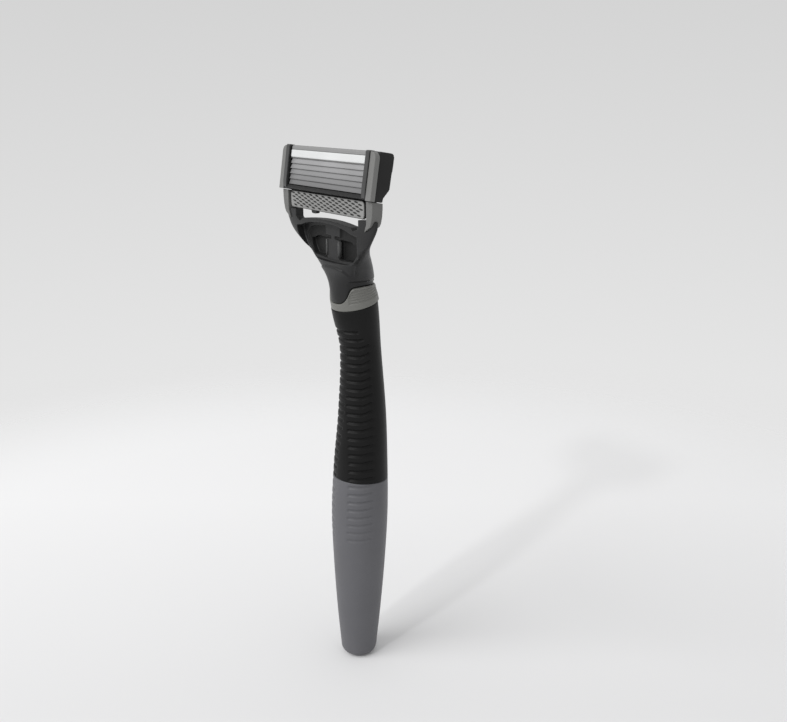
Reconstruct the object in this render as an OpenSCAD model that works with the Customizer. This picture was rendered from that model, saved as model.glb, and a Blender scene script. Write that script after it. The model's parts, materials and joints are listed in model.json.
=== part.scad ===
// Cartridge razor with a ribbed grip, a plug-on yoke and a pivoting five-blade head.
// Origin: centre of the small flat at the butt of the handle. +Z runs up the handle,
// -Y is the shaving side and X is the width of the head.

/* [Handle] */
// Height of the seam between the grey lower shell and the rubber grip, on the centre line
seam_z = 53.9; // [50:0.1:58]
// Radius of the small flat at the butt
butt_flat_r = 2.5; // [1.5:0.1:3]
// Thickness of the rubber grip sleeve
sleeve_t = 1.6; // [1.2:0.1:2]
// Radius of the part of the core that plugs into the lower shell
core_plug_r = 4.2; // [3:0.1:4.6]
// Height of the bottom of the core inside the lower shell
core_bottom_z = 11; // [9:1:30]

/* [Neck and collar] */
// Height of the foot of the collar on the centre line
neck_z = 101.5; // [101:0.1:102]
// Forward lean of the neck in degrees
neck_lean = 12; // [10:0.5:13]
// Height of the collar along the leaning neck
collar_h = 5.4; // [5:0.1:6]
// Outer radius of the collar at its foot
collar_r = 6.15; // [6:0.05:6.3]
// Radius of the core inside the collar
neck_r = 4.5; // [4:0.1:4.6]
// Width of the nose that the yoke plugs onto
nose_w = 7; // [6:0.1:7.2]
// Depth of the nose, front to back
nose_d = 4.4; // [4:0.1:4.6]
// Height of the nose's tip above the foot of the collar
nose_top = 12; // [11:0.1:12.2]
// Clearance all round the nose in the yoke's socket
nose_gap = 0.08; // [0.05:0.01:0.1]

/* [Release button] */
// Width of the button's plate
button_w = 4.4; // [4:0.1:5]
// How far the button can be pressed in
button_travel = 0.8; // [0.5:0.1:0.8]
// Wire thickness of the button's spring
spring_wire = 0.3; // [0.25:0.01:0.35]

/* [Head] */
// Width of the head over its side bezels
head_w = 41; // [40:0.1:42]
// Height of the face's top front edge above the butt
face_z = 139.9; // [139:0.1:141]
// Forward lean of the shaving face in degrees, from top to bottom
face_tilt = 9; // [8:0.5:10]
// Width of each side bezel
bezel_w = 1.7; // [1.5:0.1:1.9]
// Depth of the side bezels
bezel_d = 1.3; // [1.1:0.1:1.5]
// Pitch of the blades down the face
blade_pitch = 1.29; // [1.25:0.01:1.3]
// Thickness of each blade
blade_t = 0.12; // [0.1:0.01:0.15]
// Slope of the blades against the face in degrees
blade_slope = 33; // [30:1:35]
// Half the length of the blades
blade_x = 16.5; // [16:0.1:16.6]
// Height of the cushioned guard pad
guard_h = 4.2; // [4:0.1:4.3]

/* [Pivot and yoke] */
// Radius of the pivot pins
pin_r = 0.65; // [0.5:0.05:0.7]
// Running clearance of the pivot pins in the head, on the radius
pin_gap = 0.05; // [0.03:0.01:0.08]
// Depth of the grey arms, front to back
arm_d = 2.9; // [2.8:0.05:3]
// Front of the arms behind the origin plane, towards the shaver
arm_front_y = -8.3; // [-8.4:0.05:-8.2]
// Outer half width of the arms
arm_x = 20; // [19.8:0.1:20.2]
// Thickness of the arms
arm_t = 2.5; // [2.3:0.1:2.6]
// Half width of the gap between the yoke's two shoulders
gap_x = 14; // [13.5:0.1:14.2]

/* [Hidden] */
$fn = 48;

fit = 0.05;                        // gap between pieces that are fixed together
clear = 0.15;                      // gap between pieces that move past each other
face_y = -7.5;                     // place of the face's top front edge
neck_y = 0.1;                      // centre line at the foot of the collar
pivot = [0, -6.3, 127.3];          // hinge axis of the head, along X
top_z = 124.4;                     // top of the yoke's shoulders
sides = 48;                        // sides of the lofted handle shells

// The handle's outline: height, centre line y, radius. Smooth curves join these stations.
STATIONS = [
    [2.5, 0, 4.97], [14.4, 0.2, 6.05], [29.4, 0.5, 7.07], [43.9, 0.8, 7.61], [57.9, 1.3, 7.2],
    [71.9, 1.9, 6.34], [89.4, 1.6, 5.35], [98.4, 0.3, 5.95], [105, -0.7, 6.2]
];

// The yoke's outline: height, half width, front y, back y, squareness in front and behind.
YOKE = [
    [101.4, 5.9, -5.85, 6, 2, 2], [103.4, 5.85, -6.15, 5.7, 2, 2],
    [105.4, 5.75, -6.3, 5.4, 2.1, 2], [107.4, 5.85, -6.5, 4.9, 2.3, 2],
    [109.4, 6.9, -6.8, 4.2, 2.6, 2], [111.4, 8.4, -7.4, 3.1, 3, 2],
    [112.9, 9.6, -7.8, 2.2, 3, 1.9], [114.4, 11.1, -8.2, 1, 3, 1.8],
    [116.4, 13.8, -8.5, -1.6, 3, 1.7], [118.1, 16.1, -8.6, -3.8, 3, 1.5],
    [119.9, 18, -8.6, -4.8, 3, 1.3], [121.9, 19.4, -8.4, -5, 3.4, 1.3],
    [123.1, 19.9, -8.3, -5, 4, 1.3], [top_z, 20, -8.3, -5, 4, 1.3]
];

// --- helpers ---

function lerp(a, b, t) = a + (b - a) * t;

// Catmull-Rom curve through column c of the stations, at height z.
function last_below(z, i = 0) =
    i >= len(STATIONS) - 2 || STATIONS[i + 1][0] > z ? i : last_below(z, i + 1);
function slope(i, c) =
    let (a = STATIONS[max(i - 1, 0)], b = STATIONS[min(i + 1, len(STATIONS) - 1)])
    (b[c] - a[c]) / (b[0] - a[0]);
function along(z, c) =
    let (
        i = last_below(z),
        a = STATIONS[i],
        b = STATIONS[i + 1],
        h = b[0] - a[0],
        t = (z - a[0]) / h
    )
    (2 * t ^ 3 - 3 * t ^ 2 + 1) * a[c] + (t ^ 3 - 2 * t ^ 2 + t) * h * slope(i, c)
    + (3 * t ^ 2 - 2 * t ^ 3) * b[c] + (t ^ 3 - t ^ 2) * h * slope(i + 1, c);

// Centre line and radius of the handle. The butt closes in a quarter round onto its flat.
function centre_y(z) = along(max(z, STATIONS[0][0]), 1);
function radius(z) =
    let (end = STATIONS[0])
    z >= end[0] ? along(z, 2)
    : butt_flat_r + (end[2] - butt_flat_r) * sqrt(max(0, 1 - (1 - z / end[0]) ^ 2));

// Height of the collar's top edge at depth y in the neck's frame: it falls away at the back.
function collar_top(y) = collar_h - 0.025 * max(0, y + 2.6) ^ 2;

// A ring of the handle's surface moved inwards by inset, tilted forwards by lean degrees.
function ring(z, lean, inset) =
    [for (i = [0 : sides - 1])
        let (
            a = 360 * i / sides,
            drop = tan(lean) * cos(a),
            zi = z - drop * (radius(z) - inset),
            r = radius(zi) - inset
        )
        [r * sin(a), centre_y(zi) - r * cos(a), zi]];
function flat_ring(z, r) =
    [for (i = [0 : sides - 1])
        let (a = 360 * i / sides)
        [r * sin(a), centre_y(z) - r * cos(a), z]];
function grip_lean(z) = lerp(-5, neck_lean, (z - seam_z) / (neck_z - seam_z));

// A closed skin over a list of rings, with a flat lid on the first and last, or joined end to end.
module skin(rings, joined = false) {
    n = len(rings[0]);
    m = len(rings);
    walls = [
        for (j = [0 : m - (joined ? 1 : 2)], i = [0 : n - 1])
            let (k = (j + 1) % m, l = (i + 1) % n)
            each [[j * n + i, k * n + i, k * n + l], [j * n + i, k * n + l, j * n + l]]
    ];
    lids = joined ? [] : [[for (i = [0 : n - 1]) i], [for (i = [n - 1 : -1 : 0]) (m - 1) * n + i]];
    polyhedron([for (r = rings) each r], concat(walls, lids), convexity = 6);
}

module neck_place() {
    translate([0, neck_y, neck_z]) rotate([neck_lean, 0, 0]) children();
}
module face_place() {
    translate([0, face_y, face_z]) rotate([-face_tilt, 0, 0]) children();
}
// Everything below the collar's top edge, raised by gap, in the neck's frame.
module below_collar_top(gap) {
    edge = [for (y = [-9 : 0.5 : 9]) [y, collar_top(y) + gap]];
    across(40) polygon(concat(edge, [[9, -30], [-9, -30]]));
}
// Extrudes a (y, z) outline along x, centred.
module across(width) {
    rotate([90, 0, 90]) linear_extrude(width, center = true) children();
}
module rounded_rect(size, r) {
    for (x = [-1, 1], y = [-1, 1]) translate([x * (size.x / 2 - r), y * (size.y / 2 - r)]) circle(r);
    square([size.x, size.y - 2 * r], center = true);
    square([size.x - 2 * r, size.y], center = true);
}
module on_side(side) {
    if (side < 0) mirror([1, 0, 0]) children();
    else children();
}

// --- handle ---

module nose_outline(gap = 0) {
    rounded_rect([nose_w + 2 * gap, nose_d + 2 * gap], 1.2 + gap);
}
button_low = 4.4;                  // lower end of the button along the neck
button_high = 12.2;                // its upper end
button_in_y = nose_d / 2 + button_travel + 0.2;  // inner face of the button's plate
spring_w = 9.2;                    // the spring's axis along the neck
spring_seat_y = -0.8;              // bottom of the spring's pocket
spring_r = 1.2;                    // outer radius of the spring
module handle_core() {
    color("dimgray") difference() {
        union() {
            skin(concat(
                [flat_ring(core_bottom_z + 0.2, core_plug_r), flat_ring(seam_z - 2, core_plug_r)],
                [for (i = [0 : 9])
                    let (z = lerp(seam_z + 1, neck_z - 1.5, i / 9))
                    ring(z, grip_lean(z), sleeve_t + fit)]
            ));
            neck_place() {
                translate([0, 0, -2]) cylinder(h = collar_h + 2, r = neck_r - 0.4);
                translate([0, 0, fit]) cylinder(h = collar_h, r = neck_r);
                linear_extrude(nose_top) nose_outline();
            }
        }
        neck_place() {
            translate([0, spring_seat_y, spring_w]) rotate([-90, 0, 0])
                cylinder(h = 8, r = spring_r + 0.1);
            // Room behind the nose for the button's plate.
            translate([-button_w / 2 - clear, button_in_y - button_travel - clear, button_low - clear])
                cube([button_w + 2 * clear, 6, 12]);
        }
    }
}
module lower_handle() {
    bore_r = core_plug_r + fit;
    color("slategray") skin(concat(
        [flat_ring(0, butt_flat_r)],
        [for (t = [0.03, 0.1, 0.22, 0.4, 0.66]) ring(STATIONS[0][0] * t, 0, 0)],
        [for (i = [0 : 12])
            let (t = i / 12)
            ring(lerp(STATIONS[0][0], seam_z - fit, t), -5 * t, 0)],
        [flat_ring(seam_z - 1.2, bore_r), flat_ring(core_bottom_z, bore_r)]
    ));
}
module grip_sleeve() {
    top = neck_z - 0.17;
    outer = [for (i = [0 : 14]) let (z = lerp(seam_z, top, i / 14)) ring(z, grip_lean(z), 0)];
    inner = [for (i = [0 : 8]) let (z = lerp(top, seam_z, i / 8)) ring(z, grip_lean(z), sleeve_t)];
    color("#222222") skin(concat(outer, inner), joined = true);
}
// The U in the collar's front that the yoke's tongue drops into.
module tongue_outline(gap) {
    hull() {
        for (x = [-1.9, 1.9]) translate([x, 4.05]) circle(2.3 - gap);
        translate([0, 5.3]) square([9.9 - 2 * gap, 0.1], center = true);
        translate([0, 12]) square([11.4 - 2 * gap, 0.1], center = true);
    }
}
module collar() {
    color("darkgray") neck_place() difference() {
        rotate_extrude() polygon([
            [neck_r + fit, 0], [collar_r - 0.15, 0], [collar_r, 0.15], [collar_r - 0.05, 1.7],
            [collar_r - 0.3, collar_h - 0.2], [collar_r - 0.5, collar_h], [neck_r + fit, collar_h]
        ]);
        rotate([90, 0, 0]) linear_extrude(20) tongue_outline(0);
        difference() {
            translate([-10, -10, 0]) cube([20, 20, 20]);
            below_collar_top(0);
        }
    }
}
// A coil with closed, flattened turns at both ends.
module button_spring() {
    coils = 5;
    step = 20;
    length = button_in_y - spring_seat_y - 2 * fit;
    coil_r = spring_r - spring_wire / 2;
    rings = [for (a = [0 : step : 360 * coils])
        let (rise = lerp(spring_wire / 2, length - spring_wire / 2, a / (360 * coils)))
        [for (k = [0 : 7])
            let (r = coil_r + spring_wire / 2 * cos(45 * k))
            [r * cos(a), r * sin(a), rise + spring_wire / 2 * sin(45 * k)]]];
    color("silver") neck_place() translate([0, spring_seat_y + fit, spring_w])
        rotate([-90, 0, 0]) skin(rings);
}

// --- release button ---

module release_button() {
    middle = (button_low + button_high) / 2;
    color("darkgray") neck_place() {
        difference() {
            intersection() {
                translate([0, 9, middle]) rotate([90, 0, 0]) linear_extrude(9 - button_in_y)
                    rounded_rect([button_w, button_high - button_low], 1);
                skin_of_yoke(0.25);
            }
            below_collar_top(clear);
        }
        translate([0, 1.2, spring_w]) rotate([-90, 0, 0])
            cylinder(h = button_in_y - 1, r = spring_r - spring_wire - 0.15);
    }
}

// --- yoke ---

function yoke_ring(s, grow) =
    let (
        mid = (s[2] + s[3]) / 2,
        b = (s[3] - s[2]) / 2 + grow,
        a = s[1] + grow
    )
    [for (i = [0 : 39])
        let (t = 360 * i / 40, c = cos(t), u = sin(t), n = c > 0 ? s[4] : s[5])
        [a * sign(u) * abs(u) ^ (2 / n), mid - b * sign(c) * abs(c) ^ (2 / n), s[0]]];
module yoke_loft(grow = 0) {
    skin([for (s = YOKE) yoke_ring(s, grow)]);
}
// The yoke's outer skin in the neck's own frame, grown by a little.
module skin_of_yoke(grow) {
    rotate([-neck_lean, 0, 0]) translate([0, -neck_y, -neck_z]) yoke_loft(grow);
}
// Cuts an outline drawn from the front, back to depth y.
module pocket(y) {
    translate([0, y, 0]) rotate([90, 0, 0]) linear_extrude(20) children();
}
web_z = 122.9;                     // crown of the web between the shoulders
web_arch_r = 100;
spring_x = 15.05;                  // middle of the leaf springs that return the head
module yoke() {
    color("#333333") difference() {
        yoke_loft();
        // The skirt ends at the collar's top edge, but for the tongue in front.
        neck_place() difference() {
            below_collar_top(clear);
            translate([0, -2, 0]) rotate([90, 0, 0]) linear_extrude(20) tongue_outline(clear);
        }
        neck_place() {
            cylinder(h = collar_h + 2 * clear, r = neck_r + clear);
            linear_extrude(nose_top + 0.3) nose_outline(nose_gap);
            // Slot for the release button, open towards the handle.
            translate([-button_w / 2 - clear, 0, 0]) cube([button_w + 2 * clear, 12, button_high + clear]);
        }
        // Gap between the shoulders, over the web's arched top.
        difference() {
            translate([-gap_x, -30, web_z - 2]) cube([2 * gap_x, 60, 10]);
            translate([0, 30, web_z - web_arch_r]) rotate([90, 0, 0])
                cylinder(h = 60, r = web_arch_r, $fn = 200);
        }
        for (side = [-1, 1]) on_side(side) {
            arm_block(fit);
            translate([spring_x - 0.5 - fit, -6.35, 123.3]) cube([1 + 2 * fit, 0.42, 5]);
            // Pocket between the centre plate and the flange.
            pocket(-5.9) polygon([
                [3.3, 121.2], [8, 120.7], [10.6, 120], [11.8, 118.6], [11.2, 116.4], [10, 114.9],
                [8.6, 113.6], [2.75, 113.2], [2.75, 118.2], [0.8, 118.2], [0.8, 118.9], [3.3, 118.9]
            ]);
        }
        // The front lies back between the flanges, as far as the centre plate's face.
        pocket(-6.3) polygon([
            [-13.2, 120.3], [-9, 121], [0, 121.9], [9, 121], [13.2, 120.3], [13, 118.5], [12.4, 117],
            [11.3, 115.6], [10.2, 114.4], [8.8, 113], [-8.8, 113], [-10.2, 114.4], [-11.3, 115.6],
            [-12.4, 117], [-13, 118.5]
        ]);
    }
}

// --- arms and pivot ---

// An arm's outline seen from the front, right side: slanted at its lower end.
module arm_outline(grow) {
    inner = arm_x - arm_t;
    far = arm_x + 10 * grow;
    polygon([
        [inner - grow, 130], [inner - grow, 123.8], [inner - 0.8 - grow, 121.9 - grow],
        [18.9 + 10 * grow, 123.2 - grow], [19.4 + 10 * grow, 124], [19.8 + 10 * grow, 125.4],
        [far, 127], [far, 130]
    ]);
}
module arm_block(grow) {
    translate([0, 20, 0]) rotate([90, 0, 0]) linear_extrude(60) arm_outline(grow);
}
module arm() {
    color("gray") difference() {
        intersection() {
            arm_block(0);
            translate([0, arm_front_y, 110]) cube([30, arm_d, 30]);
        }
        face_place() translate([0, -20, rail_z - clear]) cube(40);
        translate([arm_x - 0.6, pivot.y, pivot.z]) rotate([0, -90, 0]) cylinder(h = 9, r = pin_r);
    }
}
module pivot_pin() {
    color("silver") translate([arm_x - 0.6, pivot.y, pivot.z]) rotate([0, -90, 0])
        cylinder(h = arm_t + 0.9, r = pin_r);
}
// A leaf spring from the shoulder up to the back of the head.
module return_spring() {
    color("silver") translate([spring_x, 0, 0]) across(1) polygon([
        [-6.3, 123.4], [-6.1, 123.4], [-5.7, 127.6], [-5.22, 128.8], [-5.02, 129.35],
        [-5.25, 129.4], [-5.44, 128.85], [-5.93, 127.6]
    ]);
}

// --- head, in the frame of its face: y is depth behind the face, z runs up the face ---

rail_x = head_w / 2;               // outer half width of the bezels
clip_x = rail_x - bezel_w;         // outer half width of the blade clips
rail_z = -10.85;                   // lower end of the bezels
ear_r = 1.35;                      // radius of the ears round the pivot pins
blade_top = -3;                    // lower edge of the lubricating strip
guard_back_y = -7.4;               // the guard stands upright, in the row's own frame
guard_top_z = 128.85;
module head_housing() {
    color("#2b2b2b") difference() {
        union() {
            face_place() across(2 * rail_x - 0.6) polygon([
                [bezel_d + fit, 0.15], [4.7, 0.15], [5.2, -0.1], [5.38, -0.7], [5.38, -2.6],
                [5.15, -7.9], [3.75, -9.9], [3.6, rail_z], [bezel_d + fit, rail_z]
            ]);
            face_place() across(2 * clip_x) polygon([
                [0.1, 0.12], [2, 0.12], [2, -10.6], [0.1, -10.6]
            ]);
            // Carrier behind the guard, and the ears at its ends.
            translate([-16.9, guard_back_y + fit, guard_top_z - guard_h + 0.2]) cube([33.8, 0.6, guard_h]);
            for (side = [-1, 1]) on_side(side) translate([16.55, 0, 0]) intersection() {
                across(1.3) {
                    translate([pivot.y, pivot.z]) circle(ear_r);
                    translate([pivot.y - ear_r, pivot.z]) square([2 * ear_r, 1.9]);
                }
                translate([-5, guard_back_y + fit, 110]) cube(30);
            }
        }
        // Blade bay, open to the front, and the rinse slots in its back.
        face_place() {
            across(33.8) {
                polygon([
                    [-1, -0.85], [3.9, -0.85], [3.9, -8.6], [3.2, -9.3], [2.4, -10.05], [-1, -10.05]
                ]);
                translate([-1, -1]) square([1.95, 3]);
            }
            for (i = [-2 : 2], j = [0 : 1])
                translate([i * 6.4 - 2.6, 0, -7.6 + 3.4 * j]) cube([5.2, 9, 2.2]);
        }
        for (side = [-1, 1]) on_side(side) translate([14, pivot.y, pivot.z])
            rotate([0, 90, 0]) cylinder(h = 3.5, r = pin_r + pin_gap);
    }
}
module bezel() {
    r = 1.6;
    color("gray") face_place() translate([0, bezel_d, 0]) rotate([90, 0, 0]) linear_extrude(bezel_d) {
        translate([clip_x + fit, rail_z]) square([bezel_w - fit, -rail_z - r]);
        translate([rail_x - r, -r]) intersection() {
            circle(r);
            translate([clip_x + fit - rail_x + r, 0]) square(5);
        }
    }
}
module blade_clip() {
    color("#444444") face_place() translate([(clip_x + 16.9) / 2, 0, 0]) across(clip_x - 16.9) polygon([
        [-0.05, 0.15], [0.05, 0.25], [1.3, 0.25], [1.3, 0.15], [0.08, 0.15], [0.08, -10.3],
        [-0.05, -10.3]
    ]);
}
module cap() {
    color("lightgray") face_place() difference() {
        across(33.4) polygon([
            [0.9, 0.1], [0.15, 0.02], [-0.02, -0.25], [-0.05, blade_top], [0.5, blade_top],
            [0.9, -2.5], [2.4, -1.5], [2.4, -0.9], [0.9, -0.9]
        ]);
        across(40) strip_outline(fit);
    }
}
module strip_outline(grow) {
    polygon([
        [0.5 + grow, -1 + grow], [-0.1, -1 + grow], [-0.2, -1.2], [-0.22, -2.6], [-0.1, -2.85 - grow],
        [0.5 + grow, -2.85 - grow]
    ]);
}
module lubricating_strip() {
    color("white") face_place() across(33) strip_outline(0);
}
module guard_pad() {
    color("gray") translate([0, guard_back_y, guard_top_z - guard_h / 2]) rotate([90, 0, 0])
        linear_extrude(0.75) rounded_rect([33, guard_h], 1.1);
}
// Blade i counts from the cap. Its edge is the lower, front one.
function edge_z(i) = blade_top - i * blade_pitch;
module blade(i) {
    len = 1.6;
    color("silver") face_place() translate([0, 0, edge_z(i)]) across(2 * blade_x)
        rotate(90 - blade_slope) polygon([[0, 0], [0.35, -blade_t], [len, -blade_t], [len, 0]]);
}
module blade_support(i) {
    t = 0.2;
    down = [cos(90 - blade_slope), sin(90 - blade_slope)];
    off = [down.y, -down.x];
    start = down * 0.5 + off * (blade_t + fit / 2);
    bend = down * 1.5 + off * (blade_t + fit / 2);
    color("gainsboro") face_place() translate([0, 0, edge_z(i)]) across(2 * blade_x - 1) polygon([
        start, bend, [3.7, bend.y], [3.7, bend.y - t], bend + off * t, start + off * t
    ]);
}

// --- one line per node ---

handle_core();
lower_handle();
grip_sleeve();
collar();
button_spring();
release_button();
yoke();
on_side(-1) arm();  // arm_left
arm();  // arm_right
on_side(-1) pivot_pin();  // pivot_pin_left
pivot_pin();  // pivot_pin_right
on_side(-1) return_spring();  // return_spring_left
return_spring();  // return_spring_right
head_housing();
on_side(-1) bezel();  // bezel_left
bezel();  // bezel_right
on_side(-1) blade_clip();  // blade_clip_left
blade_clip();  // blade_clip_right
cap();
lubricating_strip();
guard_pad();
for (i = [1:5]) {
    blade(i);
    blade_support(i);
}
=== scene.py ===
"""Looks of a cartridge razor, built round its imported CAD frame.

The builders work in millimetres in the row frame (Z up from the butt, -Y the shaving side) or
in the leaning frame of the neck or the tilted frame of the blade face, and the last step of
each piece turns it into metres.
"""

import json
import math

import bmesh
import bpy
import numpy as np
from mathutils import Matrix, Vector


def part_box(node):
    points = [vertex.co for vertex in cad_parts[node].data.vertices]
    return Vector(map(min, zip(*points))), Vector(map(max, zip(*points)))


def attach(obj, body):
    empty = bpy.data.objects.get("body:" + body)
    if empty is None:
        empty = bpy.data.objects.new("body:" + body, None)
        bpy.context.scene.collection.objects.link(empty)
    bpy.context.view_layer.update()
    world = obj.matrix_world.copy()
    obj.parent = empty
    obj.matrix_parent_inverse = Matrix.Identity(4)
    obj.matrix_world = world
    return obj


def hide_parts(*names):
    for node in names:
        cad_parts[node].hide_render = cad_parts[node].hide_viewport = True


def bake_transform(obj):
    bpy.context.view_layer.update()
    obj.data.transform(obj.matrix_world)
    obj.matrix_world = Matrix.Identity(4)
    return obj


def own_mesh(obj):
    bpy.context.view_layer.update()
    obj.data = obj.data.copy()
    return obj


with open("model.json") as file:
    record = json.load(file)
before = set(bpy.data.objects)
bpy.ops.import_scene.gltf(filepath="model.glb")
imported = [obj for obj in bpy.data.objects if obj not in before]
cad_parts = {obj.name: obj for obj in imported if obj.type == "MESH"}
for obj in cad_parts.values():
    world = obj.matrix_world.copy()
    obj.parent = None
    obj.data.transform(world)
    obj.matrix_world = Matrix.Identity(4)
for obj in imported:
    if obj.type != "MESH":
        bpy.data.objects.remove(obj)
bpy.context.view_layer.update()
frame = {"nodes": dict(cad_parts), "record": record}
MM = 0.001

# ---------------------------------------------------------------- outlines shared with the CAD

# Height, centre line y, radius of the handle.
STATIONS = np.array([
    [2.5, 0, 4.97], [14.4, 0.2, 6.05], [29.4, 0.5, 7.07], [43.9, 0.8, 7.61], [57.9, 1.3, 7.2],
    [71.9, 1.9, 6.34], [89.4, 1.6, 5.35], [98.4, 0.3, 5.95], [105, -0.7, 6.2]])
# Height, half width, front y, back y, squareness in front and behind of the yoke.
YOKE = np.array([
    [101.4, 5.9, -5.85, 6, 2, 2], [103.4, 5.85, -6.15, 5.7, 2, 2],
    [105.4, 5.75, -6.3, 5.4, 2.1, 2], [107.4, 5.85, -6.5, 4.9, 2.3, 2],
    [109.4, 6.9, -6.8, 4.2, 2.6, 2], [111.4, 8.4, -7.4, 3.1, 3, 2],
    [112.9, 9.6, -7.8, 2.2, 3, 1.9], [114.4, 11.1, -8.2, 1, 3, 1.8],
    [116.4, 13.8, -8.5, -1.6, 3, 1.7], [118.1, 16.1, -8.6, -3.8, 3, 1.5],
    [119.9, 18, -8.6, -4.8, 3, 1.3], [121.9, 19.4, -8.4, -5, 3.4, 1.3],
    [123.1, 19.9, -8.3, -5, 4, 1.3], [124.4, 20, -8.3, -5, 4, 1.3]])
SEAM_Z, SEAM_LEAN = 53.9, -5
BUTT_FLAT = 2.5
NECK_Y, NECK_Z, NECK_LEAN = 0.1, 101.5, 12
FACE_Y, FACE_Z, FACE_TILT = -7.5, 139.9, 9
SHOULDER_Z = 124.4
BLADE_COUNT = 5
NECK = (Matrix.Translation((0, NECK_Y, NECK_Z))
        @ Matrix.Rotation(math.radians(NECK_LEAN), 4, "X"))
FACE = (Matrix.Translation((0, FACE_Y, FACE_Z))
        @ Matrix.Rotation(math.radians(-FACE_TILT), 4, "X"))
# The cap, the strip and the blades lie back a little between the clips.
INSERT_BACK = 0.45
INSERT = FACE @ Matrix.Translation((0, INSERT_BACK, 0))
TO_METRES = Matrix.Scale(MM, 4)


def smooth(x, lo, hi):
    t = np.clip((x - lo) / (hi - lo), 0, 1)
    return t * t * (3 - 2 * t)


def curve(table, z, c):
    """Smooth curve through column c of a table of stations."""
    zs, v = table[:, 0], table[:, c]
    z = np.clip(z, zs[0], zs[-1])
    m = np.empty(len(zs))
    m[1:-1] = (v[2:] - v[:-2]) / (zs[2:] - zs[:-2])
    m[0] = (v[1] - v[0]) / (zs[1] - zs[0])
    m[-1] = (v[-1] - v[-2]) / (zs[-1] - zs[-2])
    i = np.clip(np.searchsorted(zs, z, side="right") - 1, 0, len(zs) - 2)
    h = zs[i + 1] - zs[i]
    t = (z - zs[i]) / h
    return ((2 * t**3 - 3 * t**2 + 1) * v[i] + (t**3 - 2 * t**2 + t) * h * m[i]
            + (3 * t**2 - 2 * t**3) * v[i + 1] + (t**3 - t**2) * h * m[i + 1])


def centre_y(z):
    return curve(STATIONS, z, 1)


def radius(z):
    end_z, end_r = STATIONS[0, 0], STATIONS[0, 2]
    butt = BUTT_FLAT + (end_r - BUTT_FLAT) * np.sqrt(
        np.clip(1 - (1 - np.clip(z, 0, end_z) / end_z) ** 2, 0, 1))
    return np.where(z >= end_z, curve(STATIONS, z, 2), butt)


def ring(z, lean, inset, az, depth=None):
    """Points of the handle's surface on a tilted ring; az in radians from the front."""
    zi = z - math.tan(math.radians(lean)) * np.cos(az) * (radius(np.array(z)) - inset)
    r = radius(zi) - inset
    if depth is not None:
        r = r - depth(zi, np.degrees(az))
    return np.stack([r * np.sin(az), centre_y(zi) - r * np.cos(az), zi], -1)


# ---------------------------------------------------------------- mesh helpers


def new_object(name, mesh):
    obj = bpy.data.objects.new(name, mesh)
    bpy.context.scene.collection.objects.link(obj)
    return obj


def grid_object(name, rows, joined=False):
    """Closed skin over rings of points (m, n, 3); its ends are closed, or joined to each other."""
    m, n, _ = rows.shape
    verts = [tuple(p) for p in rows.reshape(-1, 3)]
    faces = []
    for j in range(m if joined else m - 1):
        above = (j + 1) % m
        for i in range(n):
            after = (i + 1) % n
            faces.append((j * n + i, j * n + after, above * n + after, above * n + i))
    if not joined:
        for j, flip in ((0, True), (m - 1, False)):
            verts.append(tuple(rows[j].mean(0)))
            centre = len(verts) - 1
            for i in range(n):
                tri = (j * n + i, j * n + (i + 1) % n, centre)
                faces.append(tri[::-1] if flip else tri)
    mesh = bpy.data.meshes.new(name)
    mesh.from_pydata(verts, [], faces)
    mesh.update()
    return new_object(name, outward(mesh))


def plate_object(name, face, back, flip):
    """Plate between two grids of points (m, n, 3), face and back; flip turns its normals."""
    m, n, _ = face.shape
    count = m * n
    verts = [tuple(p) for p in np.concatenate([face.reshape(-1, 3), back.reshape(-1, 3)])]
    faces = []
    for j in range(m - 1):
        for i in range(n - 1):
            cell = (j * n + i, j * n + i + 1, (j + 1) * n + i + 1, (j + 1) * n + i)
            faces.append(cell)
            faces.append(tuple(v + count for v in cell[::-1]))
    rim = list(range(n)) + [j * n + n - 1 for j in range(1, m)]
    rim += [(m - 1) * n + i for i in range(n - 2, -1, -1)]
    rim += [j * n for j in range(m - 2, 0, -1)]
    for k, a in enumerate(rim):
        b = rim[(k + 1) % len(rim)]
        faces.append((b, a, a + count, b + count))
    mesh = bpy.data.meshes.new(name)
    mesh.from_pydata(verts, [], [f[::-1] for f in faces] if flip else faces)
    mesh.update()
    return new_object(name, mesh)


def outward(mesh):
    """Turns every face's normal outwards."""
    bm = bmesh.new()
    bm.from_mesh(mesh)
    bmesh.ops.recalc_face_normals(bm, faces=bm.faces)
    bm.to_mesh(mesh)
    bm.free()
    return mesh


def prism(outline, lo, hi, axis="Y", place=None):
    """Solid over a 2-D outline: (x, z) drawn along Y, (y, z) along X or (x, y) along Z."""
    bm = bmesh.new()
    order = {"Y": lambda a, b, c: (a, c, b), "X": lambda a, b, c: (c, a, b),
             "Z": lambda a, b, c: (a, b, c)}[axis]
    ends = [[bm.verts.new(order(a, b, c)) for a, b in outline] for c in sorted((lo, hi))]
    n = len(outline)
    bm.faces.new(ends[0])
    bm.faces.new(ends[1][::-1])
    for i in range(n):
        j = (i + 1) % n
        bm.faces.new((ends[0][i], ends[1][i], ends[1][j], ends[0][j]))
    bmesh.ops.recalc_face_normals(bm, faces=bm.faces)
    mesh = bpy.data.meshes.new("cutter")
    bm.to_mesh(mesh)
    bm.free()
    if place is not None:
        mesh.transform(place)
    return new_object("cutter", mesh)


def evaluated(obj):
    """Applies obj's modifiers."""
    bpy.context.view_layer.update()
    graph = bpy.context.evaluated_depsgraph_get()
    mesh = bpy.data.meshes.new_from_object(obj.evaluated_get(graph))
    old = obj.data
    obj.modifiers.clear()
    obj.data = mesh
    bpy.data.meshes.remove(old)
    return obj


def combine(obj, others, operation="DIFFERENCE"):
    for other in others:
        mod = obj.modifiers.new("cut", "BOOLEAN")
        mod.operation = operation
        mod.solver = "EXACT"
        mod.object = other
        evaluated(obj)
        bpy.data.objects.remove(other)
    return obj


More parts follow.
